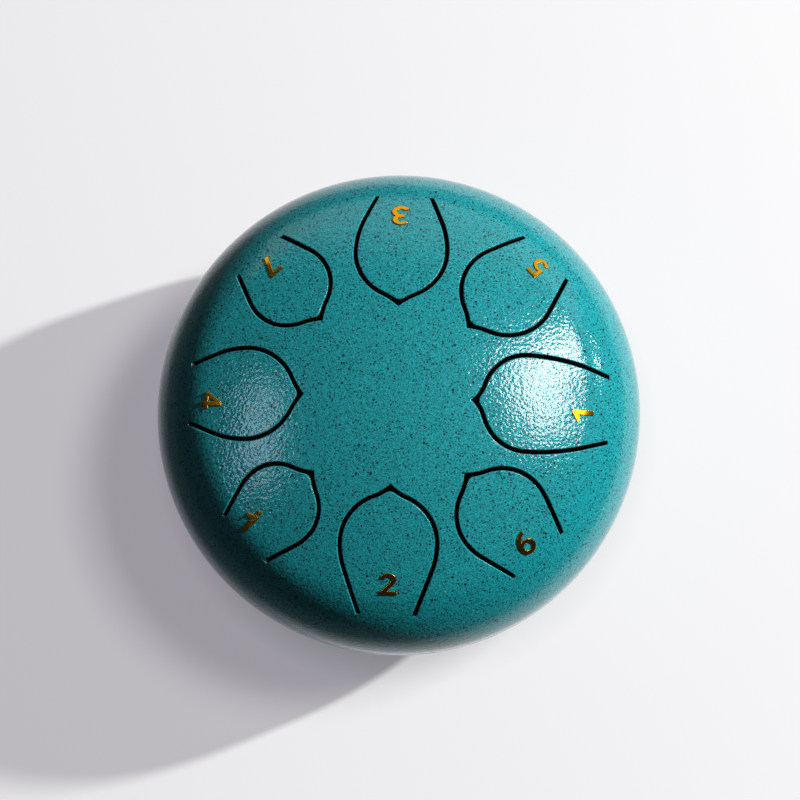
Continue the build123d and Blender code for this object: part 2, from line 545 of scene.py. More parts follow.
# The dome
@dataclass(frozen=True)
class Dome:
    """The upper bowl's outer face: a crown arc, a shoulder arc and a straight skirt, turned.

    A point on it is given in a flat chart. Its distance from the chart's middle is the way down
    the dome from its top, along the face, and its direction is its bearing about the axis. The
    groove is the V that the chamfered rims of both bowls make at the seam.
    """

    drum_radius: float = 77.5
    sheet: float = 1.5
    shoulder_radius: float = 26.0
    crown_rise: float = 33.0
    shoulder_height: float = 51.0
    seam_height: float = 45.0
    groove_depth: float = 0.8
    groove_half_width: float = 0.9
    search_steps: int = 12

    @property
    def shoulder_circle(self) -> float:
        """Radius of the circle on which the shoulder arc's centre lies."""
        return self.drum_radius - self.shoulder_radius

    @property
    def crown_radius(self) -> float:
        """Radius of the crown arc, which meets the shoulder arc without a corner."""
        rise, shoulder = self.crown_rise, self.shoulder_radius
        return (self.shoulder_circle**2 + rise**2 - shoulder**2) / (2 * (rise - shoulder))

    @property
    def crown_centre(self) -> float:
        """Height of the crown arc's centre, below the floor."""
        return self.shoulder_height + self.crown_rise - self.crown_radius

    @property
    def crown_slope(self) -> float:
        """Slope of the face, in radians, where crown and shoulder meet."""
        return math.asin(self.shoulder_circle / (self.crown_radius - self.shoulder_radius))

    @property
    def crown_run(self) -> float:
        """Way along the face from the top to where crown and shoulder meet."""
        return self.crown_radius * self.crown_slope

    @property
    def shoulder_run(self) -> float:
        """Way along the face from the top to the skirt."""
        return self.crown_run + self.shoulder_radius * (math.pi / 2 - self.crown_slope)

    def height(self, radius: float) -> float:
        """Height of the face, on the crown arc or the shoulder arc.

        Args:
            radius: Distance from the axis.

        Returns:
            The height above the floor.
        """
        if radius < self.crown_radius * math.sin(self.crown_slope):
            return self.crown_centre + math.sqrt(self.crown_radius**2 - radius**2)
        out = radius - self.shoulder_circle
        return self.shoulder_height + math.sqrt(self.shoulder_radius**2 - out**2)

    def face(self, chart: Array, depth: Array | float = 0.0) -> tuple[Array, Array]:
        """Points and normals at places in the chart.

        The slope grows with the way down, by the crown's radius and then by the shoulder's. The
        point lies at that slope on its arc, less the depth, and on the skirt it falls straight.

        Args:
            chart: Places in the flat chart.
            depth: How far inside the outer face.

        Returns:
            Points in space, and the face's normals there.
        """
        run = np.hypot(chart[..., 0], chart[..., 1])
        bearing = np.arctan2(chart[..., 1], chart[..., 0])
        crown = run < self.crown_run
        slope = np.where(
            crown,
            run / self.crown_radius,
            self.crown_slope + (run - self.crown_run) / self.shoulder_radius,
        )
        slope = np.minimum(slope, math.pi / 2)
        arc = np.where(crown, self.crown_radius, self.shoulder_radius) - depth
        out = np.where(crown, 0.0, self.shoulder_circle) + arc * np.sin(slope)
        up = np.where(crown, self.crown_centre, self.shoulder_height) + arc * np.cos(slope)
        up = up - np.maximum(run - self.shoulder_run, 0)
        points = np.stack([out * np.cos(bearing), out * np.sin(bearing), up], axis=-1)
        normals = np.stack(
            [np.sin(slope) * np.cos(bearing), np.sin(slope) * np.sin(bearing), np.cos(slope)],
            axis=-1,
        )
        return points, normals

    def chart_of(self, points: Array, towards: Array) -> Array:
        """Places in the chart where lines through points meet the outer face.

        The distance to the crown's sphere or the shoulder's ring is stepped off along the line a
        few times, divided by how squarely the line meets the face.

        Args:
            points: Points near the face.
            towards: The lines' common direction.

        Returns:
            Places in the flat chart.
        """
        for _ in range(self.search_steps):
            radius = np.hypot(points[..., 0], points[..., 1])
            above = points[..., 2] - self.crown_centre
            crown = np.arctan2(radius, above) < self.crown_slope
            out = np.where(crown, radius, radius - self.shoulder_circle)
            up = np.where(crown, above, points[..., 2] - self.shoulder_height)
            span = np.hypot(out, up)
            off = span - np.where(crown, self.crown_radius, self.shoulder_radius)
            bearing = np.arctan2(points[..., 1], points[..., 0])
            facing = (
                out / span * (np.cos(bearing) * towards[0] + np.sin(bearing) * towards[1])
                + up / span * towards[2]
            )
            points = points - (off / facing)[..., None] * towards
        slope = np.arctan2(out, up)
        run = np.where(
            crown,
            self.crown_radius * slope,
            self.crown_run + self.shoulder_radius * (slope - self.crown_slope),
        )
        return np.stack([run * np.cos(bearing), run * np.sin(bearing)], axis=-1)


# Numerals
@dataclass(frozen=True)
class Bar:
    """A straight stroke with square ends."""

    start: Pair
    end: Pair
    half_width: float

    def distance(self, spots: Array) -> Array:
        """Signed distance to the stroke's edge, below zero inside it.

        It is the distance to a box: how far a spot lies past its sides, or within the nearest.

        Args:
            spots: Places in the figure's plane.

        Returns:
            The distances.
        """
        start, end = np.array(self.start), np.array(self.end)
        length = float(np.linalg.norm(end - start))
        along = (end - start) / length
        offset = spots - (start + end) / 2
        lengthways = np.abs(offset @ along) - length / 2
        sideways = np.abs(offset @ np.array([-along[1], along[0]])) - self.half_width
        outside = np.hypot(np.maximum(lengthways, 0), np.maximum(sideways, 0))
        return outside + np.minimum(np.maximum(lengthways, sideways), 0)


@dataclass(frozen=True)
class Bow:
    """A curved stroke between two ellipses, from one angle, in degrees, round to a larger one."""

    centre: Pair
    outer: Pair
    inner: Pair
    start: float
    end: float

    def distance(self, spots: Array) -> Array:
        """Signed distance from spots to the stroke's edge, below zero inside it.

        The distance to an ellipse is its level less one, times the level, over the slope of it.
        The ends are cut straight along lines from the centre.

        Args:
            spots: Places in the figure's plane.

        Returns:
            The distances.
        """
        offset = spots - np.array(self.centre)
        sides = []
        for radii in (self.outer, self.inner):
            level = np.linalg.norm(offset / np.array(radii), axis=-1)
            steep = np.linalg.norm(offset / np.array(radii) ** 2, axis=-1)
            sides.append(level * (level - 1) / np.maximum(steep, 1e-6))
        band = np.maximum(sides[0], -sides[1])
        if self.end - self.start >= 360:
            return band
        first, last = math.radians(self.start), math.radians(self.end)
        before = offset @ np.array([math.sin(first), -math.cos(first)])
        after = offset @ np.array([-math.sin(last), math.cos(last)])
        if self.end - self.start > 180:
            return np.maximum(band, np.minimum(before, after))
        return np.maximum(band, np.maximum(before, after))


@dataclass(frozen=True)
class Glyph:
    """A figure's width and strokes, in millimetres: x to the right and y up from the baseline."""

    width: float
    strokes: tuple[Bar | Bow, ...]


class Figure(Enum):
    """The bold, plain numerals that the tongues carry."""

    ONE = Glyph(3.8, (Bar((2.95, 0.0), (2.95, 6.9), 0.82), Bar((3.3, 6.25), (0.25, 4.7), 0.67)))
    TWO = Glyph(
        5.5,
        (
            Bow((2.65, 4.75), (2.5, 2.15), (1.0, 0.98), -42.0, 178.0),
            Bar((4.15, 3.95), (1.0, 0.7), 0.73),
            Bar((0.15, 0.62), (5.4, 0.62), 0.62),
        ),
    )
    THREE = Glyph(
        5.7,
        (
            Bow((2.7, 5.0), (2.65, 1.9), (1.0, 0.62), -95.0, 160.0),
            Bow((2.7, 2.15), (2.95, 2.15), (1.25, 0.82), -163.0, 95.0),
            Bar((1.5, 3.65), (3.0, 3.65), 0.66),
        ),
    )
    FOUR = Glyph(
        5.4,
        (
            Bar((3.75, 0.0), (3.75, 6.9), 0.73),
            Bar((0.1, 2.05), (5.35, 2.05), 0.6),
            Bar((3.6, 6.45), (0.62, 2.1), 0.66),
        ),
    )
    FIVE = Glyph(
        5.1,
        (
            Bar((0.8, 6.28), (4.7, 6.28), 0.62),
            Bar((1.42, 6.8), (1.1, 3.3), 0.68),
            Bow((2.45, 2.28), (2.5, 2.28), (1.05, 1.12), -158.0, 136.0),
        ),
    )
    SIX = Glyph(
        5.3,
        (
            Bow((2.7, 2.25), (2.55, 2.25), (1.08, 1.05), 0.0, 360.0),
            Bow((4.4, 2.6), (4.25, 4.3), (2.75, 3.1), 92.0, 185.0),
        ),
    )
    SEVEN = Glyph(5.1, (Bar((0.05, 6.28), (5.0, 6.28), 0.62), Bar((4.2, 6.5), (1.6, 0.0), 0.74)))

    @property
    def middle(self) -> Pair:
        """Middle of the figure's box."""
        return (self.value.width / 2, FIGURE_HEIGHT / 2)

    def distance(self, spots: Array) -> Array:
        """Signed distance from spots to the figure's edge: the least of its strokes'."""
        return np.min([stroke.distance(spots) for stroke in self.value.strokes], axis=0)


@dataclass(frozen=True)
class Numeral:
    """One raised numeral on a tongue, placed by its middle, from the cusp and from the axis.

    dot is the place of an octave dot in the figure's plane, where it has one.
    """

    figure: Figure
    along: float
    across: float
    height: float = FIGURE_HEIGHT
    dot: Pair | None = None


# Tongues
@dataclass(frozen=True)
class Spade:
    """The outline of one tongue's opening, as in the solids, on a plane that touches its cusp.

    The plane's first axis runs from the cusp down the tongue, and its second to the left of that.
    tip_radius is the cusp's distance from the drum's axis, and rim_margin the root's from its edge.
    belly_share says how far down the belly lies, as a share of the length, and back_share how large
    the back arc is, as a share of the one that would reach the root without a straight arm.
    """

    name: str
    bearing: float
    tip_radius: float
    rim_margin: float
    belly_half: float
    belly_share: float
    root_half: float
    back_share: float
    numeral: Numeral
    ogee_length: float = 3.5
    ogee_half_width: float = 5.45
    slot_width: float = 1.25
    tip_fillet: float = 2.5

    def axes(self, dome: Dome) -> tuple[Array, Array, Array, Array]:
        """The plane's origin, its two axes and its normal.

        Args:
            dome: The dome that the tongue is cut in.

        Returns:
            Origin, direction down the tongue, direction across it, and normal.
        """
        root = dome.drum_radius - self.rim_margin
        tilt = math.asin((self.tip_radius + root) / 2 / dome.crown_radius)
        turn = math.radians(self.bearing)
        out = np.array([math.cos(turn), math.sin(turn), 0.0])
        up = np.array([0.0, 0.0, 1.0])
        origin = out * self.tip_radius + up * dome.height(self.tip_radius)
        across = np.array([-math.sin(turn), math.cos(turn), 0.0])
        along = out * math.cos(tilt) - up * math.sin(tilt)
        return origin, along, across, out * math.sin(tilt) + up * math.cos(tilt)

    def length(self, dome: Dome) -> float:
        """Distance from the cusp to the root line, along the plane.

        Args:
            dome: The dome that the tongue is cut in.

        Returns:
            The distance.
        """
        root = dome.drum_radius - self.rim_margin
        origin, along, _, _ = self.axes(dome)
        turn = math.radians(self.bearing)
        end = np.array([root * math.cos(turn), root * math.sin(turn), dome.height(root)])
        return float((end - origin) @ along)

    def chart(self, dome: Dome, spots: Array) -> Array:
        """Drop spots on the plane square to it onto the dome.

        Args:
            dome: The dome that the tongue is cut in.
            spots: Places on the plane.

        Returns:
            Their places in the dome's chart.
        """
        origin, along, across, normal = self.axes(dome)
        points = origin + spots[..., :1] * along + spots[..., 1:] * across
        return dome.chart_of(points, normal)

    def half_edge(self, dome: Dome, inset: float, fillet: float, steps: int) -> tuple[Array, Array]:
        """Half of the outline from the root to the tip, on the side of the second axis.

        It is a straight arm, an arc back to the belly, an arc forward to the ogee's bend, the
        ogee's arc the other way, and where fillet isn't zero an arc round the tip. An inset moves
        each arc in about its own centre.

        Args:
            dome: The dome that the tongue is cut in.
            inset: How far in from the opening's edge.
            fillet: Radius of the tip, or zero for the opening's sharp cusp.
            steps: Points on each stretch.

        Returns:
            Spots on the plane, close together, and the outward normals there.
        """
        length = self.length(dome)
        belly_at = self.belly_share * length
        run, drop = length - belly_at, self.belly_half - self.root_half
        back = self.back_share * (run**2 + drop**2) / (2 * drop)
        back_centre = (belly_at, self.belly_half - back)
        to_root = math.hypot(run, self.root_half - back_centre[1])
        turn = math.atan2(self.root_half - back_centre[1], run) + math.acos(back / to_root)
        share = np.linspace(0, 1, steps)
        arm_start = on_circle(back_centre, back - inset, np.array(turn))
        arm_end = np.array([length, arm_start[1] - (length - arm_start[0]) / math.tan(turn)])
        arm = arm_end + share[:, None] * (arm_start - arm_end)
        arm_normal = np.tile([math.cos(turn), math.sin(turn)], (steps, 1))

        back_angles = turn + share * (math.pi / 2 - turn)
        run, drop = belly_at - self.ogee_length, self.belly_half - self.ogee_half_width
        front = (run**2 + drop**2) / (2 * drop)
        front_centre = (belly_at, self.belly_half - front)
        bend = np.array([self.ogee_length, self.ogee_half_width])
        outward = unit(bend - np.array(front_centre))
        front_end = math.atan2(outward[1], outward[0])
        front_angles = math.pi / 2 + share * (front_end - math.pi / 2)

        ogee = float(bend @ bend / (-2 * bend @ outward))
        ogee_centre = bend + outward * ogee
        reach = math.sqrt((ogee + inset + fillet) ** 2 - ogee_centre[1] ** 2)
        ogee_start = front_end - math.pi
        ogee_end = math.atan2(-ogee_centre[1], reach)
        ogee_angles = ogee_start + share * (ogee_end - ogee_start)

        stretches = [
            (arm, arm_normal),
            (on_circle(back_centre, back - inset, back_angles), on_circle((0, 0), 1, back_angles)),
            (on_circle(front_centre, front - inset, front_angles), on_circle((0, 0), 1, front_angles)),
            (on_circle(ogee_centre, ogee + inset, ogee_angles), on_circle((0, 0), -1, ogee_angles)),
        ]
        if fillet:
            tip_centre = (ogee_centre[0] + reach, 0.0)
            tip_start = ogee_end + math.pi
            tip_angles = tip_start + share * (math.pi - tip_start)
            stretches.append((on_circle(tip_centre, fillet, tip_angles), on_circle((0, 0), 1, tip_angles)))
        spots = np.concatenate([spot if i == 0 else spot[1:] for i, (spot, _) in enumerate(stretches)])
        normals = np.concatenate([n if i == 0 else n[1:] for i, (_, n) in enumerate(stretches)])
        return spots, normals


def resample(values: Array, at: Array, wanted: Array) -> Array:
    """Columns of values, known at rising places, read off at other places."""
    return np.stack([np.interp(wanted, at, values[:, i]) for i in range(values.shape[1])], axis=-1)


def way_along(spots: Array) -> Array:
    """Distance along a line of spots from its first one."""
    return np.concatenate([[0.0], np.cumsum(np.linalg.norm(np.diff(spots, axis=0), axis=1))])


def mirrored(half: Array, flip: tuple[float, ...]) -> Array:
    """A half line and its mirror image, as one line.

    Args:
        half: The half, which ends on the axis.
        flip: Factor for each column in the mirror image.

    Returns:
        The half followed by its mirror image, run backwards.
    """
    return np.concatenate([half, half[-2::-1] * np.array(flip)])


@dataclass(frozen=True)
class SlotEdge:
    """How a slot's edges are rounded by the paint, and how finely the grids follow them.

    round is the rounding's radius, and fade the way from a tongue's root over which it grows. The
    steps are those along the root, the slot's end, a side and the cusp, and dense is how many points
    an outline has on each stretch before it is divided so.
    """

    round: float = 0.32
    fade: float = 1.6
    turns: int = 6
    root_steps: int = 14
    end_steps: int = 6
    side_steps: int = 84
    cusp_steps: int = 22
    dense: int = 160

    @property
    def arc_steps(self) -> int:
        """Steps on half of a sector's outer arc: those of the root and of the slot's end."""
        return self.root_steps + self.end_steps

    def patches(
        self, dome: Dome, spade: Spade, line: Array, out: Array, radius: Array, facing: int
    ) -> list[Patch]:
        """Grids for one side of a slot: its rounded edge and its wall.

        The edge turns down from the dome on a quarter circle, and the wall goes down from there to
        the sheet's inner face.

        Args:
            dome: The dome that the slot is cut in.
            spade: The tongue that the slot goes round.
            line: The side's line on the tongue's plane.
            out: Directions away from the tongue, along the line.
            radius: The rounding's radius, along the line.
            facing: 1 for the tongue's own side, which looks out, and -1 for the opening's.

        Returns:
            The edge's grid and the wall's.
        """
        angles = np.linspace(0, math.pi / 2, self.turns)[:, None]
        rim = line - facing * out * (radius * (1 - np.sin(angles)))[..., None]
        points, up = dome.face(spade.chart(dome, rim), radius * (1 - np.cos(angles)))
        _, along, across, _ = spade.axes(dome)
        side = facing * (out[:, :1] * along + out[:, 1:] * across)
        side = unit(side - (side * up).sum(axis=-1, keepdims=True) * up)
        normals = np.sin(angles)[..., None] * side + np.cos(angles)[..., None] * up
        depth = np.stack([radius, np.full(len(line), dome.sheet)])
        wall, _ = dome.face(spade.chart(dome, np.stack([line, line])), depth)
        # The wall takes the inside's near-black coat, which is partly painted shade in the slot
        return [Patch(points, normals), Patch(wall, np.broadcast_to(side[-1], wall.shape), Coat.INSIDE)]


@dataclass(frozen=True)
class Tongues:
    """The eight tongues: spade-shaped plates, flush with the dome, that run on from the shell at their
    roots.
    """

    dome: Dome
    spades: tuple[Spade, ...]
    edge: SlotEdge
    spine_gap: float = 5.0

    def half_line(self, spade: Spade) -> tuple[Array, Array, Array]:
        """The tongue's own edge on one side, its outward normals, and the rounding along it.

        The rounding fades out to nothing at the root, where the tongue runs on into the shell.

        Args:
            spade: The tongue.

        Returns:
            Spots from root to tip, normals, and the rounding's radius.
        """
        spots, normals = spade.half_edge(self.dome, spade.slot_width, spade.tip_fillet, self.edge.dense)
        way = way_along(spots)
        wanted = np.linspace(0, way[-1], self.edge.side_steps + self.edge.cusp_steps)
        rounding = self.edge.round * smooth_step(wanted / self.edge.fade)
        return resample(spots, way, wanted), unit(resample(normals, way, wanted)), rounding

    def patches(self, spade: Spade) -> list[Patch]:
        """Grids for one tongue: its face, its rounded edge, its wall and its underside.

        The face runs from a spine on the tongue's axis, which ends short of the tip, straight out to
        the edge. The underside runs in the same way out to the wall, a sheet's thickness deeper.

        Args:
            spade: The tongue.

        Returns:
            The grids.
        """
        spots, normals, rounding = self.half_line(spade)
        flip = (1.0, -1.0)
        length = spade.length(self.dome)
        inset = spots - normals * rounding[:, None]
        tip = inset[-1, 0]
        steps = np.linspace(0, 1, len(spots))
        spine = np.stack([length + steps * (tip + self.spine_gap - length), np.zeros(len(spots))], axis=-1)
        share = np.linspace(0, 1, self.edge.root_steps + 1)[:, None, None]
        spine_line, inset_line = mirrored(spine, flip), mirrored(inset, flip)
        top = spine_line + share * (inset_line - spine_line)
        face, face_normals = self.dome.face(spade.chart(self.dome, top))

        line, out = mirrored(spots, flip), mirrored(normals, flip)
        radius = mirrored(rounding[:, None], (1.0,))[:, 0]
        under_line = spine_line + share[::2] * (line - spine_line)
        under, under_up = self.dome.face(spade.chart(self.dome, under_line), self.dome.sheet)

        root_spots = np.stack([length + 0 * share[:, 0, 0], share[:, 0, 0] * spots[0, 1]], axis=-1)
        root_line = mirrored(root_spots[::-1], flip)
        depths = np.array([0.0, self.dome.sheet])[:, None] * np.ones(len(root_line))
        root, _ = self.dome.face(spade.chart(self.dome, np.stack([root_line] * 2)), depths)
        _, along, _, _ = spade.axes(self.dome)
        return [
            Patch(face, face_normals),
            *self.edge.patches(self.dome, spade, line, out, radius, facing=1),
            Patch(under, -under_up, Coat.INSIDE),
            Patch(root, np.broadcast_to(along, root.shape), Coat.INSIDE),
        ]

    def build(self, enamel: Material, primer: Material) -> list[Piece]:
        """Make the eight tongues, each as a piece of its own.

        Args:
            enamel: The outside's paint.
            primer: The inside's coat.

        Returns:
            The tongues.
        """
        pieces = []
        for spade in self.spades:
            piece = make_piece(spade.name + "_plate", self.patches(spade), [enamel, primer])
            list(self.reach(spade))
            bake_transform(piece)
            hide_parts(spade.name)
            pieces.append(piece)
        return pieces

    def reach(self, spade: Spade) -> tuple[Vector, Vector]:
        """The middle of a tongue's root line and its cusp.

        Args:
            spade: The tongue.

        Returns:
            The middle of its root and its cusp, in metres.
        """
        origin, along, _, _ = spade.axes(self.dome)
        root = origin + along * spade.length(self.dome)
        return Vector(root * METRES), Vector(origin * METRES)


@dataclass(frozen=True)
class Numerals:
    """Raised gold numerals, one to a tongue, which follow the dome.

    rise is how far the face stands above the paint, bevel the width of its round edge, and sunk how
    deep the back lies. cell is the grid's width, and points within snap of a cell from the edge are
    moved onto it.
    """

    tongues: Tongues
    rise: float = 0.34
    bevel: float = 0.16
    sunk: float = 0.06
    cell: float = 0.055
    margin: float = 0.6
    dot_radius: float = 0.75
    dot_room: float = 2.5
    snap: float = 0.62

    def patches(self, spade: Spade) -> list[Patch]:
        """Grids for one numeral: its raised face and its flat back, which meet at its edge.

        The face's height is worked out from the distance to the figure's edge. It leaves the edge
        on a quarter circle and is level further in. Grid points next to the edge are moved onto it.

        Args:
            spade: The tongue that carries the numeral.

        Returns:
            The grids.
        """
        numeral = spade.numeral
        width, height = numeral.figure.value.width, FIGURE_HEIGHT
        xs = np.arange(-self.margin, width + self.margin, self.cell)
        ys = np.arange(-self.margin, height + self.margin + self.dot_room, self.cell)
        spots = np.stack(np.meshgrid(xs, ys, indexing="ij"), axis=-1)
        distance = self.distance(numeral, spots)
        slope = np.stack(np.gradient(distance, self.cell), axis=-1)
        near = np.abs(distance) < self.snap * self.cell
        spots = spots - np.where(near, distance, 0)[..., None] * unit(slope)
        distance = np.where(near, 0, distance)
        inside = distance <= 0
        keep = inside[:-1, :-1] & inside[1:, :-1] & inside[1:, 1:] & inside[:-1, 1:]

        level = np.clip(1 + distance / self.bevel, 0, 1)
        lift = -self.sunk + (self.rise + self.sunk) * np.sqrt(np.maximum(1 - level**2, 0))
        offset = (spots - np.array(numeral.figure.middle)) * (numeral.height / height)
        plane = np.stack([numeral.along - offset[..., 1], numeral.across + offset[..., 0]], axis=-1)
        chart = spade.chart(self.tongues.dome, plane)
        face, _ = self.tongues.dome.face(chart, -lift)
        back, back_up = self.tongues.dome.face(chart, self.sunk)
        normals = unit(np.cross(np.gradient(face, axis=0), np.gradient(face, axis=1)))
        normals = normals * np.sign((normals * back_up).sum(axis=-1, keepdims=True))
        return [Patch(face, normals, keep=keep), Patch(back, -back_up, keep=keep)]

    def distance(self, numeral: Numeral, spots: Array) -> Array:
        """Signed distance to the numeral's edge, with its octave dot where it has one.

        Args:
            numeral: The numeral.
            spots: Places in the figure's plane.

        Returns:
            The distances, below zero inside it.
        """
        figure = numeral.figure.distance(spots)
        if numeral.dot is None:
            return figure
        dot = np.linalg.norm(spots - np.array(numeral.dot), axis=-1) - self.dot_radius
        return np.minimum(figure, dot)

    def build(self, foil: Material) -> list[Piece]:
        """Make the eight numerals.

        Args:
            foil: The gold finish.

        Returns:
            The numerals.
        """
        pieces = []
        for spade in self.tongues.spades:
            piece = make_piece(spade.name + "_numeral", self.patches(spade), [foil])
            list(self.tongues.reach(spade))
            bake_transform(piece)
            pieces.append(piece)
        return pieces


# Upper shell
@dataclass(frozen=True)
class UpperShell:
    """The pressed dome with its eight openings, as eight sectors, a middle disc and a rim.

    The sectors lie between inner_run and outer_run, which are ways down the dome from its top.
    """

    dome: Dome
    tongues: Tongues
    edge: SlotEdge
    wide_half: float = 24.0
    inner_run: float = 16.0
    outer_run: float = 72.0
    rows: int = 16
    row_power: float = 1.7
    under_rows: int = 6
    middle_rows: int = 9
    shoulder_rows: int = 22
    skirt_rows: int = 4

    def bounds(self, spade: Spade) -> Pair:
        """Bearings, in degrees, between which a tongue's sector lies.

        The sectors of the four longer tongues are wide_half to each side of a quarter turn, and
        the others have what is left.

        Args:
            spade: The tongue.

        Returns:
            The lower and the higher bearing.
        """
        middle = round(spade.bearing / 45) * 45
        half = self.wide_half if middle % 90 == 0 else 45 - self.wide_half
        return middle - half, middle + half

    def sector_edge(self, spade: Spade) -> Array:
        """A sector's boundary in the chart, from the middle of its outer arc all the way round.

        Each stretch is evenly divided, so neighbouring sectors have the same points.

        Args:
            spade: The tongue whose sector it is.

        Returns:
            Places in the flat chart.
        """
        low, high = np.radians(self.bounds(spade))
        middle = (low + high) / 2
        arc_steps = self.edge.arc_steps
        halves = []
        for side in (high, low):
            outer = np.linspace(middle, side, arc_steps + 1)
            inner = np.linspace(side, middle, self.edge.cusp_steps + 1)
            down = np.linspace(self.outer_run, self.inner_run, self.edge.side_steps + 1)
            bearing = np.concatenate([outer[:-1], np.full(len(down) - 1, side), inner])
            run = np.concatenate(
                [np.full(arc_steps, self.outer_run), down[:-1], np.full(len(inner), self.inner_run)]
            )
            halves.append(np.stack([run * np.cos(bearing), run * np.sin(bearing)], axis=-1))
        return np.concatenate([halves[0], halves[1][-2::-1]])

    def opening(self, spade: Spade) -> tuple[Array, Array, Array]:
        """The opening's edge on the tongue's plane, from the middle of its root line round.

        Along the root line it has the points that the tongue has there. Round the slot it is
        divided by an even mix of the way along it and the way down the dome, so that its points
        lie opposite the sector's.

        Args:
            spade: The tongue.

        Returns:
            Spots, outward directions with mitred corners, and the rounding's radius.
        """
        inner = self.tongues.half_line(spade)[0][0, 1]
        spots, normals = spade.half_edge(self.dome, 0.0, 0.0, self.edge.dense)
        length, outer = spots[0]
        way = way_along(spots)
        # The outline's third stretch ends at the ogee's bend, and stretches share their end points
        bend = self.edge.dense * 3 - 3
        chart = spade.chart(self.dome, spots)
        down = np.hypot(chart[:, 0], chart[:, 1])
        mix = way[: bend + 1] / way[bend] + (down[0] - down[: bend + 1]) / (down[0] - down[bend])
        even = np.linspace(0, 2, self.edge.side_steps + 1)
        ways = np.interp(even, np.maximum.accumulate(mix), way[: bend + 1])
        cusp_ways = np.linspace(way[bend], way[-1], self.edge.cusp_steps + 1)
        ways = np.concatenate([ways, cusp_ways[1:]])
        side, side_out = resample(spots, way, ways), unit(resample(normals, way, ways))

        root = np.linspace(0, inner, self.edge.root_steps + 1)
        end = np.linspace(inner, outer, self.edge.end_steps + 1)[1:-1]
        flat = np.concatenate([root, end])
        flat_spots = np.stack([np.full(len(flat), length), flat], axis=-1)
        flat_out = np.tile([1.0, 0.0], (len(flat), 1))
        corner = (side_out[0] + [1.0, 0.0]) / (1 + side_out[0, 0])
        side_out[0] = corner
        side_out[-1] = np.array([-1.0, 0.0]) / abs(side_out[-1, 0])
        grow = np.clip((flat - inner) / (outer - inner), 0, 1)
        rounding = np.concatenate([grow, np.ones(len(side))]) * self.edge.round
        half = np.concatenate([flat_spots, side])
        half_out = np.concatenate([flat_out, side_out])
        flip = (1.0, -1.0)
        radius = mirrored(rounding[:, None], (1.0,))[:, 0]
        return mirrored(half, flip), mirrored(half_out, flip), radius

    def sector(self, spade: Spade) -> list[Patch]:
        """Grids for one sector: its face, the opening's rounded edge, its wall and the underside.

        The face runs straight in the chart from the opening's edge to the sector's boundary, with
        rows that lie closer together near the opening.

        Args:
            spade: The tongue whose opening it holds.

        Returns:
            The grids.
        """
        line, out, radius = self.opening(spade)
        boundary = self.sector_edge(spade)
        near = spade.chart(self.dome, line + out * radius[:, None])
        share = (np.linspace(0, 1, self.rows) ** self.row_power)[:, None, None]
        face, face_normals = self.dome.face(near + share * (boundary - near))

        low = spade.chart(self.dome, line)
        under_share = np.linspace(0, 1, self.under_rows)[:, None, None]
        under, under_up = self.dome.face(low + under_share * (boundary - low), self.dome.sheet)
        return [
            Patch(face, face_normals),
            *self.edge.patches(self.dome, spade, line, out, radius, facing=-1),
            Patch(under, -under_up, Coat.INSIDE),
        ]

    def bearings(self, steps: int) -> Array:
        """Bearings of the sectors' points on an arc, once round.

        Args:
            steps: Steps on half of a sector's arc.

        Returns:
            The bearings, in radians.
        """
        lows = sorted(self.bounds(spade) for spade in self.tongues.spades)
        turns = [np.linspace(low, high, 2 * steps + 1)[:-1] for low, high in lows]
        return np.radians(np.concatenate(turns + [np.array([lows[0][0] + 360])]))

    def round_patch(self, runs: Array, steps: int, depth: float, coat: Coat) -> Patch:
        """A grid all the way round the axis, in rows at given ways down the dome.

        Args:
            runs: Way down the dome of each row.
            steps: Steps on half of a sector's arc.
            depth: How far inside the outer face.
            coat: Which material it takes, and so which way it looks.

        Returns:
            The grid.
        """
        bearing = self.bearings(steps)
        chart = runs[:, None, None] * np.stack([np.cos(bearing), np.sin(bearing)], axis=-1)
        points, normals = self.dome.face(chart, depth)
        return Patch(points, normals if coat is Coat.OUTSIDE else -normals, coat)

    def rim(self) -> list[Patch]:
        """The seam's lip: a chamfer into the weld's groove and the flat under it.

        Returns:
            The grids.
        """
        radius, seam = self.dome.drum_radius, self.dome.seam_height
        deep, half = self.dome.groove_depth, self.dome.groove_half_width
        chamfer = np.array([half, -deep]) / math.hypot(deep, half)
        bearing = self.bearings(self.edge.arc_steps)
        lip = np.array([[radius, seam + half], [radius - deep, seam]])
        flat = np.array([[radius - deep, seam], [radius - self.dome.sheet, seam]])
        return [
            turned(lip, np.array([chamfer] * 2), bearing),
            turned(flat, np.array([[0.0, -1.0]] * 2), bearing),
        ]

    def build(self, enamel: Material, primer: Material) -> list[Piece]:
        """Make the shell, which stays with the drum.

        The inside has every fourth row of the middle disc, and every third of the shoulder.

        Args:
            enamel: The outside's paint.
            primer: The inside's coat.

        Returns:
            The shell, as one piece.
        """
        patches = [patch for spade in self.tongues.spades for patch in self.sector(spade)]
        arc_steps = self.edge.arc_steps
        middle = np.linspace(0, self.inner_run, self.middle_rows)
        seam_run = self.dome.shoulder_run + self.dome.shoulder_height - self.dome.seam_height
        shoulder = np.linspace(self.outer_run, self.dome.shoulder_run, self.shoulder_rows)
        skirt = np.linspace(shoulder[-1], seam_run - self.dome.groove_half_width, self.skirt_rows)
        outer = np.concatenate([shoulder, skirt[1:]])
        inner = np.concatenate([shoulder[::3], [seam_run]])
        patches += [
            self.round_patch(middle, self.edge.cusp_steps, 0.0, Coat.OUTSIDE),
            self.round_patch(middle[::4], self.edge.cusp_steps, self.dome.sheet, Coat.INSIDE),
            self.round_patch(outer, arc_steps, 0.0, Coat.OUTSIDE),
            self.round_patch(inner, arc_steps, self.dome.sheet, Coat.INSIDE),
            *self.rim(),
        ]
        piece = make_piece("upper_shell_dome", patches, [enamel, primer])
        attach(piece, "drum")
        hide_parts("upper_shell")
        return [piece]


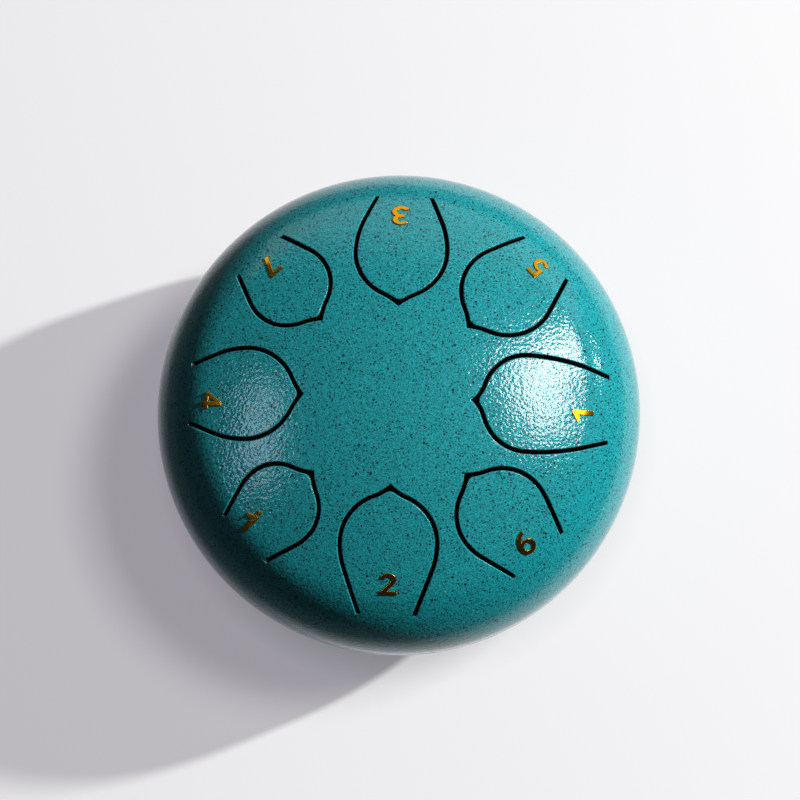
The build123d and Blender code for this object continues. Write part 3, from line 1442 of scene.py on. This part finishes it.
# Turned pieces
def turned(
    profile: Array, normals: Array, bearings: Array, centre: Pair = (0.0, 0.0), coat: Coat = Coat.OUTSIDE
) -> Patch:
    """A profile of radius and height carried round an upright axis.

    Args:
        profile: Radius and height of each point.
        normals: Outward and upward part of the normal at each point.
        bearings: Bearings, in radians, once round.
        centre: The axis in plan.
        coat: Which material it takes.

    Returns:
        The grid.
    """
    around = np.stack([np.cos(bearings), np.sin(bearings)], axis=-1)
    flat = profile[:, None, :1] * around + np.array(centre)
    up = np.broadcast_to(profile[:, None, 1:], flat.shape[:2] + (1,))
    side = normals[:, None, :1] * around
    rise = np.broadcast_to(normals[:, None, 1:], flat.shape[:2] + (1,))
    return Patch(np.concatenate([flat, up], axis=-1), np.concatenate([side, rise], axis=-1), coat)


@dataclass(frozen=True)
class Section:
    """A section of straight runs and arcs, for a turned piece."""

    bearings: Array
    centre: Pair = (0.0, 0.0)
    run_points: int = 3
    arc_points: int = 4
    arc_step: float = 4.0

    def run(self, start: Pair, end: Pair, coat: Coat = Coat.OUTSIDE) -> Patch:
        """A straight run. Its face looks to the left of the way from start to end.

        Args:
            start: Radius and height at its start.
            end: Radius and height at its end.
            coat: Which material it takes.

        Returns:
            The grid.
        """
        line = np.linspace(np.array(start), np.array(end), self.run_points)
        way = unit(np.array(end) - np.array(start))
        facing = np.tile([-way[1], way[0]], (self.run_points, 1))
        return turned(line, facing, self.bearings, self.centre, coat)

    def arc(
        self, middle: Pair, radius: float, start: float, end: float, coat: Coat = Coat.OUTSIDE
    ) -> Patch:
        """An arc between two angles, with a point at least every arc_step degrees or so.

        Args:
            middle: Radius and height of its centre.
            radius: Its radius, below zero for the hollow side.
            start: Angle at its start, in degrees.
            end: Angle at its end.
            coat: Which material it takes.

        Returns:
            The grid.
        """
        count = max(self.arc_points, int(abs(end - start) / self.arc_step) + 1)
        angles = np.radians(np.linspace(start, end, count))
        line = on_circle(middle, abs(radius), angles)
        facing = on_circle((0, 0), math.copysign(1, radius), angles)
        return turned(line, facing, self.bearings, self.centre, coat)


@dataclass(frozen=True)
class LowerShell:
    """The second bowl: a skirt, a wide shoulder and a flat base with a lipped sound hole."""

    dome: Dome
    base_height: float = 7.0
    shoulder_radius: float = 32.0
    hole_radius: float = 22.0
    lip_bend: float = 3.0
    lip_height: float = 6.0
    steps: int = 256

    def patches(self) -> list[Patch]:
        """Grids of the bowl's section carried round, from the seam down, in and back up inside.

        Returns:
            The grids.
        """
        sheet, radius, seam = self.dome.sheet, self.dome.drum_radius, self.dome.seam_height
        section = Section(np.linspace(0, 2 * math.pi, self.steps + 1))
        out, low = radius - self.shoulder_radius, self.base_height
        arc_height = low + self.shoulder_radius
        bend_height, lip_top = low + self.lip_bend, low + self.lip_height
        lip, hole = self.hole_radius + self.lip_bend, self.hole_radius
        half = sheet / 2
        groove, groove_low = radius - self.dome.groove_depth, seam - self.dome.groove_half_width
        inside = Coat.INSIDE
        return [
            section.run((radius - sheet, seam), (groove, seam), inside),
            section.run((groove, seam), (radius, groove_low)),
            section.run((radius, groove_low), (radius, arc_height)),
            section.arc((out, arc_height), self.shoulder_radius, 0, -90),
            section.run((out, low), (lip, low)),
            section.arc((lip, bend_height), self.lip_bend, -90, -180),
            section.run((hole, bend_height), (hole, lip_top - half)),
            section.arc((hole + half, lip_top - half), half, 180, 0),
            section.run((hole + sheet, lip_top - half), (hole + sheet, bend_height), inside),
            section.arc((lip, bend_height), -(self.lip_bend - sheet), 180, 270, inside),
            section.run((lip, low + sheet), (out, low + sheet), inside),
            section.arc((out, arc_height), -(self.shoulder_radius - sheet), -90, 0, inside),
            section.run((radius - sheet, arc_height), (radius - sheet, seam), inside),
        ]

    def build(self, enamel: Material, primer: Material) -> list[Piece]:
        """Make the bowl, which stays with the drum.

        Args:
            enamel: The outside's paint.
            primer: The inside's coat.

        Returns:
            The bowl, as one piece.
        """
        piece = make_piece("lower_shell_bowl", self.patches(), [enamel, primer])
        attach(piece, "drum")
        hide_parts("lower_shell")
        return [piece]


@dataclass(frozen=True)
class SeamWeld:
    """The weld bead round the seam, ground almost flush and painted over."""

    dome: Dome
    half_width: float = 0.95
    crown: float = 0.09
    depth: float = 0.7
    edge_drop: float = 0.04
    edge_power: int = 8
    waves: tuple[tuple[int, float], ...] = ((41, 0.0), (67, 1.1), (23, 2.3))
    ripple: float = 0.12
    rows: int = 9
    steps: int = 512

    def build(self, enamel: Material) -> list[Piece]:
        """Make the bead: a shallow crowned band, with the faint ripple of hand grinding.

        Its radius is the skirt's, plus a crown that falls off as a parabola to both edges, times one
        and a share of a sum of waves round the drum, less a drop close to the edges. A wave has its
        count round the drum and its phase in radians.

        Args:
            enamel: The paint.

        Returns:
            The bead, as one piece.
        """
        bearing = np.linspace(0, 2 * math.pi, self.steps + 1)
        share = np.linspace(-1, 1, self.rows)[:, None]
        ripple = sum(np.sin(count * bearing + phase) for count, phase in self.waves)
        radius = self.dome.drum_radius + self.crown * (1 - share**2) * (1 + self.ripple * ripple)
        radius = radius - self.edge_drop * share**self.edge_power
        height = self.dome.seam_height + self.half_width * share + 0 * bearing
        points = np.stack([radius * np.cos(bearing), radius * np.sin(bearing), height], axis=-1)
        slope = 2 * self.crown * share / self.half_width + 0 * bearing
        out = np.stack([np.cos(bearing), np.sin(bearing), 0 * bearing], axis=-1)
        normals = unit(out + slope[..., None] * np.array([0.0, 0.0, 1.0]))
        root = self.dome.drum_radius - self.depth
        middle = out * root + np.array([0.0, 0.0, self.dome.seam_height])
        upper = Patch(np.stack([points[-1], middle]), np.stack([[0, 0, 1] - out] * 2))
        lower = Patch(np.stack([middle, points[0]]), np.stack([[0, 0, -1] - out] * 2))
        piece = make_piece("seam_weld_bead", [Patch(points, normals), upper, lower], [enamel])
        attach(piece, "drum")
        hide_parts("seam_weld")
        return [piece]


@dataclass(frozen=True)
class Feet:
    """Three moulded feet, each held by a washer and a pan-head screw with a cross recess."""

    names: tuple[str, ...] = ("foot_back", "foot_left", "foot_right")
    circle: float = 36.0
    first_bearing: float = 90.0
    height: float = 7.0
    top_radius: float = 9.0
    bottom_radius: float = 8.0
    edge: float = 1.0
    top_edge: float = 0.4
    pocket_radius: float = 4.8
    pocket_depth: float = 4.0
    bore: float = 1.8
    mouth: float = 0.35
    washer_radius: float = 4.5
    washer_height: float = 3.2
    washer_thickness: float = 0.8
    head_radius: float = 3.5
    head_low: float = 1.0
    head_rise: float = 1.15
    head_share: float = 0.92
    head_power: float = 2.6
    collar_radius: float = 1.19
    shank_radius: float = 1.7
    thread_depth: float = 0.35
    thread_pitch: float = 1.3
    shank_top: float = 9.5
    point_height: float = 3.0
    point_end: float = 0.12
    recess_reach: float = 1.75
    recess_half: float = 0.42
    recess_depth: float = 1.3
    recess_slant: float = 0.22
    recess_end_slant: float = 0.5
    steps: int = 96
    screw_steps: int = 144
    head_rows: int = 48
    shank_rows: int = 150

    def centres(self) -> list[Pair]:
        """Where the feet stand, in plan."""
        turns = np.radians(self.first_bearing + np.arange(len(self.names)) * 360 / len(self.names))
        return [(self.circle * math.cos(turn), self.circle * math.sin(turn)) for turn in turns]

    def rubber(self, centre: Pair) -> list[Patch]:
        """Grids of one foot: a tapered bumper with rounded edges and a pocket from below.

        Args:
            centre: The foot's axis in plan.

        Returns:
            The grids.
        """
        section = Section(np.linspace(0, 2 * math.pi, self.steps + 1), centre)
        low, high, edge, mouth = self.bottom_radius, self.top_radius, self.edge, self.mouth
        taper = math.degrees(math.atan2(high - low, self.height))
        turn = math.radians(taper)
        round_out = low + edge * (math.sin(turn) - 1) / math.cos(turn)
        side_low = (round_out + edge * math.cos(turn), edge - edge * math.sin(turn))
        top = self.top_edge
        pocket, bore, roof = self.pocket_radius, self.bore, self.pocket_depth
        return [
            section.run((round_out, 0.0), (pocket + mouth, 0.0)),
            section.arc((round_out, edge), edge, -90, -taper),
            section.run((high, self.height - top), side_low),
            section.arc((high - top, self.height - top), top, 0, 90),
            section.run((bore, self.height), (high - top, self.height)),
            section.run((bore, roof), (bore, self.height)),
            section.run((pocket, roof), (bore, roof)),
            section.run((pocket, mouth), (pocket, roof)),
            section.arc((pocket + mouth, mouth), mouth, 180, 270),
        ]

    def washer(self, centre: Pair) -> list[Patch]:
        """Grids of one washer: a flat ring with rounded rims.

        Args:
            centre: The washer's axis in plan.

        Returns:
            The grids.
        """
        section = Section(np.linspace(0, 2 * math.pi, self.steps + 1), centre)
        half = self.washer_thickness / 2
        middle = self.washer_height + half
        inner, outer = self.bore + half, self.washer_radius - half
        low, high = self.washer_height, self.washer_height + self.washer_thickness
        return [
            section.arc((outer, middle), half, -90, 90),
            section.run((outer, high), (inner, high)),
            section.arc((inner, middle), half, 90, 270),
            section.run((inner, low), (outer, low)),
        ]

    def screw(self, centre: Pair) -> list[Patch]:
        """Grids of one screw: a domed head with a cross recess, and a threaded shank to a point.

        The head's lower face rises to its rim along the first part of a curve like an ellipse's. The
        recess cuts into it where a spot lies within a half width of either arm, with slanted walls.
        The thread's ridge is the square of a triangle wave of the height less the bearing's share of
        a pitch, and the shank narrows to its point as a square root.

        Args:
            centre: The screw's axis in plan.

        Returns:
            The grids.
        """
        bearing = np.linspace(0, 2 * math.pi, self.screw_steps + 1)
        share = np.linspace(0, 1, self.head_rows)[:, None]
        radius = share * self.head_radius
        x, y = radius * np.cos(bearing), radius * np.sin(bearing)
        fall = np.sqrt(1 - (self.head_share * share) ** self.head_power)
        dome = self.head_rise * (1 - fall)
        wide, narrow = np.maximum(np.abs(x), np.abs(y)), np.minimum(np.abs(x), np.abs(y))
        within = np.minimum(
            (self.recess_half - narrow) / self.recess_slant,
            (self.recess_reach - wide) / self.recess_end_slant,
        )
        recess = self.recess_depth * smooth_step(within)
        z = self.head_low + dome + recess + 0 * bearing
        head = np.stack([x + centre[0], y + centre[1], z], axis=-1)
        normals = unit(np.cross(np.gradient(head, axis=1), np.gradient(head, axis=0)))
        normals = np.where(normals[..., 2:] > 0, -normals, normals)
        normals[0] = (0.0, 0.0, -1.0)
        normals[:, -1] = normals[:, 0]

        rim = float(z[-1, 0])
        section = Section(bearing, centre)
        low, end = self.washer_height, self.shank_top + self.point_height
        heights = np.linspace(low, end, self.shank_rows)[:, None]
        wave = np.mod(heights / self.thread_pitch - bearing / (2 * math.pi), 1)
        ridge = self.thread_depth * (1 - np.abs(2 * wave - 1)) ** 2
        point = np.clip((end - heights) / self.point_height, 0, 1)
        taper = self.point_end + (1 - self.point_end) * np.sqrt(point)
        core = (self.shank_radius - self.thread_depth + ridge) * taper
        out = np.stack([np.cos(bearing), np.sin(bearing), 0 * bearing], axis=-1)
        axis = np.array([*centre, 0.0]) + heights[..., None] * np.array([0.0, 0.0, 1.0])
        shank = axis + core[..., None] * out
        shank_normals = unit(np.cross(np.gradient(shank, axis=1), np.gradient(shank, axis=0)))
        turn = np.sign((shank_normals * out).sum(axis=-1, keepdims=True))
        tip = np.stack([shank[-1], np.broadcast_to(axis[-1], shank[-1].shape)])
        return [
            Patch(head, normals),
            section.run((self.head_radius, low), (self.head_radius, rim)),
            section.run((self.collar_radius, low), (self.head_radius, low)),
            Patch(shank, shank_normals * turn),
            Patch(tip, np.broadcast_to([0.0, 0.0, 1.0], tip.shape)),
        ]

    def build(self, rubber: Material, zinc: Material) -> list[Piece]:
        """Make the feet, the washers and the screws, which stay with the drum.

        Args:
            rubber: The feet's material.
            zinc: The washers' and screws' plate.

        Returns:
            The three feet, the washers as one piece and the screws as one.
        """
        pieces = []
        for name, centre in zip(self.names, self.centres()):
            foot = make_piece(name + "_rubber", self.rubber(centre), [rubber])
            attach(foot, "drum")
            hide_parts(name)
            pieces.append(foot)
        for name, maker in (("foot_washers", self.washer), ("foot_screws", self.screw)):
            patches = [patch for centre in self.centres() for patch in maker(centre)]
            piece = make_piece(name + "_plated", patches, [zinc])
            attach(piece, "drum")
            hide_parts(name)
            pieces.append(piece)
        return pieces


# Studio
@dataclass(frozen=True)
class Lamp:
    """A flat lamp that faces the drum, placed by bearing and height angle, in degrees.

    radiance is how bright its face looks, where a white card in full light is about 1. mirrored says
    whether glossy surfaces show it, and lights whether it brightens matte ones. A lamp that is
    floor_only lights the floor alone.
    """

    name: str
    bearing: float
    elevation: float
    distance: float
    width: float
    length: float
    radiance: float
    colour: str = "#FFFFFF"
    round: bool = False
    mirrored: bool = True
    lights: bool = True
    floor_only: bool = False


@dataclass(frozen=True)
class Studio:
    """The camera, the floor, the lamps and a dim room round the drum."""

    lamps: tuple[Lamp, ...]
    aim_height: float = 51.0
    elevation: float = 81.249
    azimuth: float = 17.5
    roll: float = 2.531
    distance: float = 617.7
    focal_pixels: float = 1918.8
    picture: float = 800.0
    aim_x: float = 398.1
    aim_y: float = 412.1
    sensor: float = 36.0
    floor_size: float = 12000.0
    floor_colour: str = "#A7A8A5"
    lift_colour: str = "#F8F3FF"
    lift: float = 0.35
    bounce_colour: str = "#727274"
    # Painted shade under the drum: the card is near black at the middle, fades out by the second radius,
    # and the lift is held off until the third
    painted_shade_colour: str = "#0A0A0A"
    painted_shade_solid: float = 24.0
    painted_shade_edge: float = 44.0
    lift_full_from: float = 88.0
    # Painted dark reflection: reflections see the card fade towards the near-black colour below, with its
    # distance from this centre
    fade_centre: tuple[float, float, float] = (95.0, 60.0, 0.0)
    fade_from: float = 170.0
    fade_to: float = 330.0
    fade: float = 0.9
    painted_dark_reflection_colour: str = "#060606"
    room_colour: str = "#C9CED6"
    room_strength: float = 0.03

    def camera(self) -> None:
        """Place the camera where the photograph was taken from.

        It looks at the aim from its elevation and azimuth, turned by roll about that line. The
        lens shift puts the aim where the photograph has it.
        """
        high, round_, roll = (math.radians(a) for a in (self.elevation, self.azimuth, self.roll))
        back = Vector(
            (math.sin(round_) * math.cos(high), -math.cos(round_) * math.cos(high), math.sin(high))
        )
        right = Vector((0, 1, 0)).cross(back).normalized()
        up = back.cross(right)
        right, up = (
            right * math.cos(roll) + up * math.sin(roll),
            up * math.cos(roll) - right * math.sin(roll),
        )
        data = bpy.data.cameras.new("Camera")
        data.sensor_width = self.sensor
        data.lens = self.focal_pixels / self.picture * self.sensor
        data.shift_x = (self.picture / 2 - self.aim_x) / self.picture
        data.shift_y = (self.aim_y - self.picture / 2) / self.picture
        camera = bpy.data.objects.new("Camera", data)
        place = Vector((0, 0, self.aim_height)) + back * self.distance
        turn = Matrix((right, up, back)).transposed().to_4x4()
        camera.matrix_world = Matrix.Translation(place * METRES) @ turn
        bpy.context.scene.collection.objects.link(camera)
        bpy.context.scene.camera = camera

    def floor(self) -> None:
        """Lay a matte card under the drum, light grey, which its own lamp makes nearly white.

        Where the camera or a reflection sees it, it is a little lighter, which opens up its shadow.
        The light that it throws back at the drum is dimmer. Under the drum it is painted dark, a painted
        contact shadow, and the lift is held off round it. In reflections it fades to a painted dark
        reflection with its distance from a spot next to the drum.
        """
        material, tree, place = start_material("Matte_white_card")
        path = add_node(tree, "ShaderNodeLightPath").outputs
        away = add_node(tree, "ShaderNodeVectorMath", {0: place}, operation="LENGTH").outputs["Value"]
        # Painted shade: masks that paint the card dark under the drum and hold the lift off round it
        clear, lift_past_painted_shade = (
            add_node(
                tree,
                "ShaderNodeMapRange",
                {"Value": away, "From Min": near * METRES, "From Max": far * METRES},
            ).outputs["Result"]
            for near, far in ((self.painted_shade_solid, self.painted_shade_edge), (self.painted_shade_edge, self.lift_full_from))
        )
        colour = add_node(
            tree,
            "ShaderNodeMix",
            {0: path["Is Diffuse Ray"], 6: linear(self.floor_colour), 7: linear(self.bounce_colour)},
            data_type="RGBA",
        ).outputs[2]
        # Painted contact shadow: the card's colour goes near black under the drum
        colour = add_node(
            tree, "ShaderNodeMix", {0: clear, 6: linear(self.painted_shade_colour), 7: colour}, data_type="RGBA"
        ).outputs[2]
        card = add_node(tree, "ShaderNodeBsdfDiffuse", {"Color": colour}).outputs["BSDF"]

        seen = path["Is Camera Ray"]
        for ray in ("Is Glossy Ray", "Is Transmission Ray"):
            seen = add_node(
                tree, "ShaderNodeMath", {0: seen, 1: path[ray]}, operation="MAXIMUM"
            ).outputs["Value"]
        # The lift is held off under the drum, which paints its shadow darker still
        lit = add_node(tree, "ShaderNodeMath", {0: seen, 1: lift_past_painted_shade}, operation="MULTIPLY")
        lift = add_node(
            tree, "ShaderNodeEmission", {"Color": linear(self.lift_colour), "Strength": self.lift}
        )
        glow = add_node(
            tree, "ShaderNodeMixShader", {0: lit.outputs["Value"], 2: lift.outputs["Emission"]}
        )
        both = add_node(tree, "ShaderNodeAddShader", {0: card, 1: glow.outputs["Shader"]})

        # Painted dark reflection: far from a spot next to the drum, reflections see a near-black card
        apart = add_node(
            tree,
            "ShaderNodeVectorMath",
            {0: place, 1: Vector(self.fade_centre) * METRES},
            operation="DISTANCE",
        )
        faded = add_node(
            tree,
            "ShaderNodeMapRange",
            {
                "Value": apart.outputs["Value"],
                "From Min": self.fade_from * METRES,
                "From Max": self.fade_to * METRES,
                "To Max": self.fade,
            },
            interpolation_type="SMOOTHSTEP",
        )
        dark_reflection_share = add_node(
            tree,
            "ShaderNodeMath",
            {0: faded.outputs["Result"], 1: path["Is Glossy Ray"]},
            operation="MULTIPLY",
        )
        dark = add_node(tree, "ShaderNodeBsdfDiffuse", {"Color": linear(self.painted_dark_reflection_colour)})
        whole = add_node(
            tree,
            "ShaderNodeMixShader",
            {0: dark_reflection_share.outputs["Value"], 1: both.outputs["Shader"], 2: dark.outputs["BSDF"]},
        )
        add_node(tree, "ShaderNodeOutputMaterial", {"Surface": whole.outputs["Shader"]})
        half = self.floor_size / 2
        corner = np.array([-half, half])
        x, y = np.meshgrid(corner, corner, indexing="ij")
        points = np.stack([x, y, 0 * x], axis=-1)
        up = np.broadcast_to([0.0, 0.0, 1.0], points.shape)
        floor = make_piece("Floor", [Patch(points, up)], [material])

    def light(self) -> None:
        """Hang the lamps, and give the room a dim light of its own.

        A flat lamp's power is its radiance times its area times pi.
        """
        aim = Vector((0, 0, self.aim_height)) * METRES
        floor_alone = bpy.data.collections.new("Floor_alone")
        floor_alone.objects.link(bpy.data.objects["Floor"])
        for lamp in self.lamps:
            data = bpy.data.lights.new(lamp.name, "AREA")
            data.shape = "ELLIPSE" if lamp.round else "RECTANGLE"
            data.size, data.size_y = lamp.width * METRES, lamp.length * METRES
            area = data.size * data.size_y * (math.pi / 4 if lamp.round else 1)
            data.energy = lamp.radiance * area * math.pi
            data.color = linear(lamp.colour)[:3]
            turn, rise = math.radians(lamp.bearing), math.radians(lamp.elevation)
            away = Vector(
                (math.cos(turn) * math.cos(rise), math.sin(turn) * math.cos(rise), math.sin(rise))
            )
            across = Vector((-math.sin(turn), math.cos(turn), 0))
            axes = Matrix((across, away.cross(across), away)).transposed().to_4x4()
            holder = bpy.data.objects.new(lamp.name, data)
            holder.visible_glossy = lamp.mirrored
            holder.visible_diffuse = lamp.lights
            if lamp.floor_only:
                holder.light_linking.receiver_collection = floor_alone
            holder.matrix_world = Matrix.Translation(aim + away * lamp.distance * METRES) @ axes
            bpy.context.scene.collection.objects.link(holder)
        world = bpy.data.worlds.new("Room")
        world.use_nodes = True
        world.node_tree.nodes.clear()
        room = add_node(
            world.node_tree,
            "ShaderNodeBackground",
            {"Color": linear(self.room_colour), "Strength": self.room_strength},
        )
        add_node(world.node_tree, "ShaderNodeOutputWorld", {"Surface": room.outputs["Background"]})
        bpy.context.scene.world = world

    def build(self) -> None:
        """Set up the whole studio."""
        self.camera()
        self.floor()
        self.light()
        bpy.context.scene.view_settings.view_transform = "Standard"


# The drum's own sizes
DOME = Dome()
SPADES = (
    Spade("tongue_1_low", 0.0, 23.6, 11.3, 15.6, 0.397, 10.8, 0.933, Numeral(Figure.ONE, 35.05, -2.75)),
    Spade("tongue_2", -90.0, 26.7, 11.4, 15.5, 0.448, 9.2, 0.582, Numeral(Figure.TWO, 30.6, 0.5)),
    Spade("tongue_3", 90.0, 28.5, 11.9, 14.9, 0.479, 9.2, 0.769, Numeral(Figure.THREE, 30.7, 0.75)),
    Spade("tongue_4", 180.0, 27.9, 13.2, 14.9, 0.5, 9.8, 0.788, Numeral(Figure.FOUR, 29.6, 2.25)),
    Spade("tongue_5", 46.4, 31.0, 12.0, 14.9, 0.505, 10.1, 0.49, Numeral(Figure.FIVE, 30.75, -0.95)),
    Spade("tongue_6", -45.0, 31.7, 12.5, 14.8, 0.507, 10.5, 0.506, Numeral(Figure.SIX, 28.5, -0.75, 7.5)),
    Spade("tongue_7", 135.0, 32.9, 14.1, 13.8, 0.519, 9.8, 0.526, Numeral(Figure.SEVEN, 25.4, -0.1)),
    Spade(
        "tongue_1_high",
        -135.0,
        33.3,
        14.4,
        13.7,
        0.515,
        10.1,
        0.555,
        Numeral(Figure.ONE, 25.7, -3.0, dot=(2.65, 8.0)),
    ),
)
LAMPS = (
    Lamp("Key", 22.6, 27.5, 2400.0, 80.0, 200.0, 2775.0, round=True, mirrored=False),
    Lamp("Key_glint", 22.6, 27.5, 2400.0, 160.0, 200.0, 60.0, lights=False),
    Lamp("Softbox", 24.0, 62.0, 2400.0, 690.0, 410.0, 17.0, lights=False),
    Lamp("Bulb", 32.4, 52.0, 2300.0, 300.0, 480.0, 22.0, lights=False),
    Lamp("Fill", 178.0, 61.0, 2400.0, 800.0, 240.0, 6.0, "#D6E6FF", lights=False),
    Lamp("Back_card", 85.0, 31.0, 1800.0, 3200.0, 1300.0, 0.85, lights=False),
    Lamp("Floor_lamp", 26.0, 59.0, 2400.0, 500.0, 500.0, 42.6, mirrored=False, floor_only=True),
)


def main() -> None:
    """Build the drum from its shells to its numerals, log each piece's faces, then build the studio."""
    logging.basicConfig(level=logging.INFO, format="%(name)s %(message)s")
    enamel, primer = SpeckledEnamel().build(), DarkPrimerAndPaintedShade().build()
    edge = SlotEdge()
    tongues = Tongues(DOME, SPADES, edge)
    pieces = UpperShell(DOME, tongues, edge).build(enamel, primer)
    pieces += tongues.build(enamel, primer)
    pieces += Numerals(tongues).build(GoldFoil().build())
    pieces += LowerShell(DOME).build(enamel, primer)
    pieces += SeamWeld(DOME).build(enamel)
    pieces += Feet().build(MouldedRubber().build(), ZincPlate().build())
    for piece in pieces:
        log.info("%s: %d faces", piece.name, len(piece.data.polygons))
    Studio(LAMPS).build()


if __name__ == "__main__":
    main()
